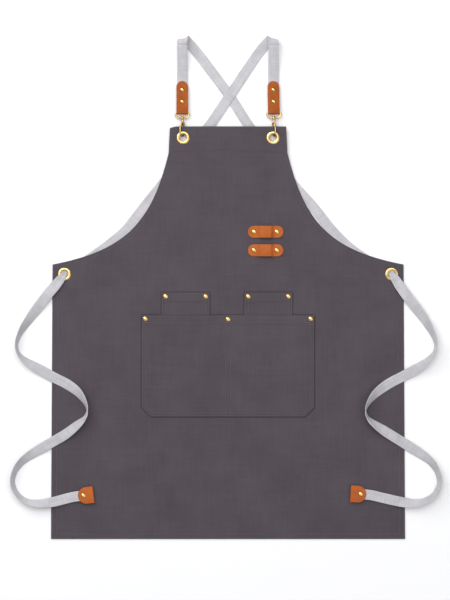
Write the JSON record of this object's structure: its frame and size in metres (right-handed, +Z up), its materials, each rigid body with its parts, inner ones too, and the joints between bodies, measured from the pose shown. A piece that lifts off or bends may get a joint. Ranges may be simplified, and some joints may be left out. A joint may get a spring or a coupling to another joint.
{
  "type": "cross-back smock apron",
  "caption": "Cross-back canvas smock apron lying face up: bib and skirt, divided pocket, pen pockets, leather tool loops, webbing straps with snap hooks and eyelets.",
  "frame": {"origin": "middle of the apron and its strap ends seen from above, on the table under it", "axes": "+Y from the hem to the shoulders, +X to the right of the apron as it lies face up, +Z up from the table"},
  "size_m": [0.8489, 0.9919, 0.0232],
  "materials": {
    "canvas": "matt charcoal cotton canvas, plain weave",
    "canvas_turned": "the same canvas turned under and stitched",
    "webbing": "light grey woven webbing",
    "leather": "tan leather, smooth face and raw edges",
    "brass": "polished yellow brass rivets and eyelets",
    "brass_hardware": "polished yellow brass wire and castings",
    "steel": "small steel pin and spring"
  },
  "bodies": {
    "apron": {"apron_panel": "canvas", "bib_facing": "canvas_turned", "side_hem_left": "canvas_turned", "side_hem_right": "canvas_turned", "bottom_hem": "canvas_turned", "armhole_hem_left": "canvas_turned", "armhole_hem_right": "canvas_turned", "pocket_large": "canvas", "pen_pocket_left": "canvas", "pen_pocket_right": "canvas", "pocket_rivets": "brass", "pocket_rivet_backs": "brass", "tool_loop_upper": "leather", "tool_loop_lower": "leather", "tool_loop_rivets": "brass", "tool_loop_rivet_backs": "brass", "bib_eyelet_left": "brass", "bib_eyelet_right": "brass", "waist_eyelet_left": "brass", "waist_eyelet_right": "brass", "bib_washer_left": "brass", "bib_washer_right": "brass", "waist_washer_left": "brass", "waist_washer_right": "brass", "strap_lead_left": "webbing", "strap_lead_right": "webbing", "strap_left": "webbing", "strap_right": "webbing", "tie_tab_left": "leather", "tie_tab_right": "leather", "tie_rivet_left": "brass", "tie_rivet_right": "brass", "tie_rivet_back_left": "brass", "tie_rivet_back_right": "brass"},
    "tab_left": {"strap_tab_left": "leather", "tab_rivets_left": "brass", "tab_rivet_backs_left": "brass", "strap_stub_left": "webbing"},
    "buckle_left": {"buckle_left": "brass_hardware"},
    "hook_left": {"hook_left": "brass_hardware", "gate_pin_left": "steel", "gate_spring_left": "steel"},
    "gate_left": {"gate_left": "brass_hardware"},
    "tab_right": {"strap_tab_right": "leather", "tab_rivets_right": "brass", "tab_rivet_backs_right": "brass", "strap_stub_right": "webbing"},
    "buckle_right": {"buckle_right": "brass_hardware"},
    "hook_right": {"hook_right": "brass_hardware", "gate_pin_right": "steel", "gate_spring_right": "steel"},
    "gate_right": {"gate_right": "brass_hardware"}
  },
  "joints": [
    {"name": "tab_hinge_left", "type": "hinge", "parent": "apron", "child": "tab_left", "pos_m": [-0.0902, 0.38855, 0.0062], "axis": [1, 0, 0], "range_deg": [0, 25]},
    {"name": "buckle_hinge_left", "type": "hinge", "parent": "apron", "child": "buckle_left", "pos_m": [-0.0902, 0.38855, 0.0062], "axis": [1, 0, 0], "range_deg": [-1, 0]},
    {"name": "hook_swivel_left", "type": "hinge", "parent": "buckle_left", "child": "hook_left", "pos_m": [-0.0902, 0.37816, 0.0066], "axis": [0, 0.9993, -0.0384], "range_deg": [0, 68]},
    {"name": "gate_spring_hinge_left", "type": "hinge", "parent": "hook_left", "child": "gate_left", "pos_m": [-0.0884, 0.36818, 0.00484], "axis": [-0.766, -0.0247, -0.6423], "range_deg": [0, 12], "stiffness_Nm_per_rad": 0.004, "springref_deg": -14.32},
    {"name": "tab_hinge_right", "type": "hinge", "parent": "apron", "child": "tab_right", "pos_m": [0.0902, 0.38855, 0.0062], "axis": [0.9998, 0.0175, 0], "range_deg": [0, 25]},
    {"name": "buckle_hinge_right", "type": "hinge", "parent": "apron", "child": "buckle_right", "pos_m": [0.0902, 0.38855, 0.0062], "axis": [0.9998, 0.0175, 0], "range_deg": [-1, 0]},
    {"name": "hook_swivel_right", "type": "hinge", "parent": "buckle_right", "child": "hook_right", "pos_m": [0.09038, 0.37816, 0.0066], "axis": [-0.0174, 0.9991, -0.0384], "range_deg": [-44, 18]},
    {"name": "gate_spring_hinge_right", "type": "hinge", "parent": "hook_right", "child": "gate_right", "pos_m": [0.0896, 0.36815, 0.00435], "axis": [-0.9398, -0.0033, 0.3418], "range_deg": [0, 12], "stiffness_Nm_per_rad": 0.004, "springref_deg": -14.32}
  ]
}
